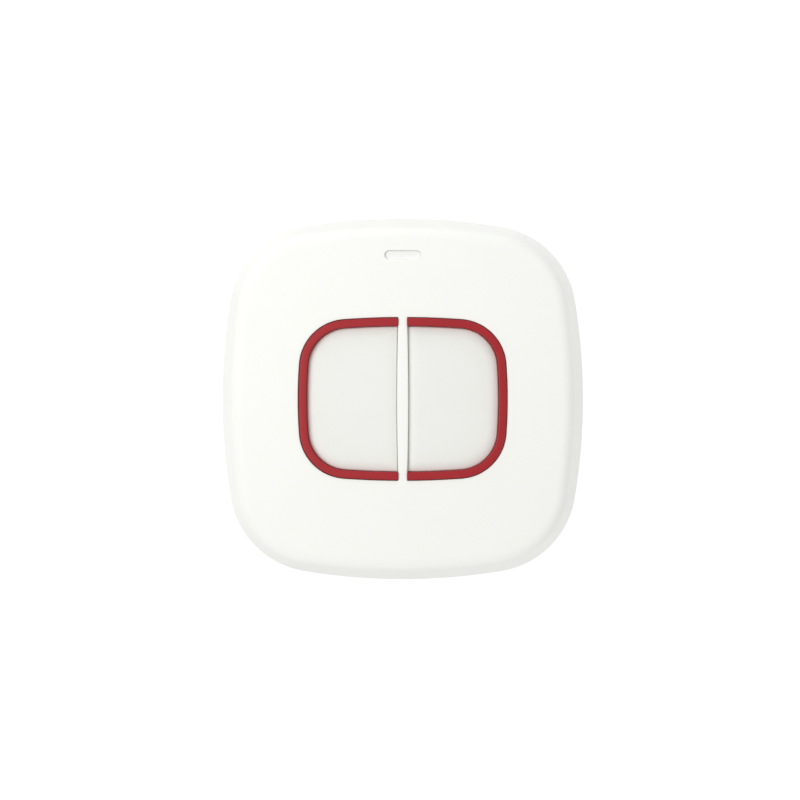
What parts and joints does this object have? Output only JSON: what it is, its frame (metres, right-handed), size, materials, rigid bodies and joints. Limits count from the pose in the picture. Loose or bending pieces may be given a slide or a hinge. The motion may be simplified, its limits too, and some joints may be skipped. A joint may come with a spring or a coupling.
{
  "type": "wireless panic button",
  "caption": "Rounded square wireless panic button with paired press pads in a red ring, divider bar, indicator slot and coin-slot battery door.",
  "frame": {"origin": "centre of the flat back face, which lies on the surface", "axes": "+Z out of the press pads, +Y towards the indicator slot, +X towards the right pad"},
  "size_m": [0.0618, 0.0618, 0.017],
  "materials": {
    "white_housing": "fine satin moulded plastic, white",
    "grey_pad": "fine satin moulded plastic, pale grey",
    "red_ring": "semi-gloss moulded plastic, deep red",
    "clear_window": "diffusing light pipe plastic, milky white",
    "silicone": "soft silicone rubber, grey",
    "black_plastic": "black moulded plastic",
    "board_laminate": "green solder mask on glass laminate",
    "tinned_sheet": "tinned sheet metal",
    "chip_ceramic": "tan ceramic chip bodies",
    "cell_steel": "nickel-plated steel can",
    "screw_steel": "zinc-plated steel"
  },
  "bodies": {
    "housing": {"front_cover": "white_housing", "rear_cover": "white_housing", "button_ring": "red_ring", "indicator_window": "clear_window", "housing_seal": "silicone", "left_return_pad": "silicone", "right_return_pad": "silicone", "left_switch": "black_plastic", "right_switch": "black_plastic", "circuit_board": "board_laminate", "radio_module": "board_laminate", "radio_shield": "tinned_sheet", "controller_chip": "black_plastic", "crystal": "tinned_sheet", "board_capacitors": "chip_ceramic", "indicator_lamp": "clear_window", "antenna": "tinned_sheet", "battery_holder": "black_plastic", "positive_contact": "tinned_sheet", "negative_contact": "tinned_sheet", "coin_cell": "cell_steel", "case_screws": "screw_steel", "board_screws": "screw_steel"},
    "left_press": {"left_button": "grey_pad", "left_plunger": "grey_pad"},
    "right_press": {"right_button": "grey_pad", "right_plunger": "grey_pad"},
    "door": {"battery_door": "white_housing", "door_seal": "silicone"}
  },
  "joints": [
    {"name": "left_button_press", "type": "slide", "parent": "housing", "child": "left_press", "axis": [0, 0, -1], "range_m": [0, 0.0005], "stiffness_N_per_m": 1500, "springref_m": -0.0003, "deforming": ["left_return_pad"]},
    {"name": "right_button_press", "type": "slide", "parent": "housing", "child": "right_press", "axis": [0, 0, -1], "range_m": [0, 0.0005], "stiffness_N_per_m": 1500, "springref_m": -0.0003, "deforming": ["right_return_pad"]},
    {"name": "battery_door_twist", "type": "hinge", "parent": "housing", "child": "door", "pos_m": [0, 0, 0], "axis": [0, 0, -1], "range_deg": [0, 45]}
  ]
}
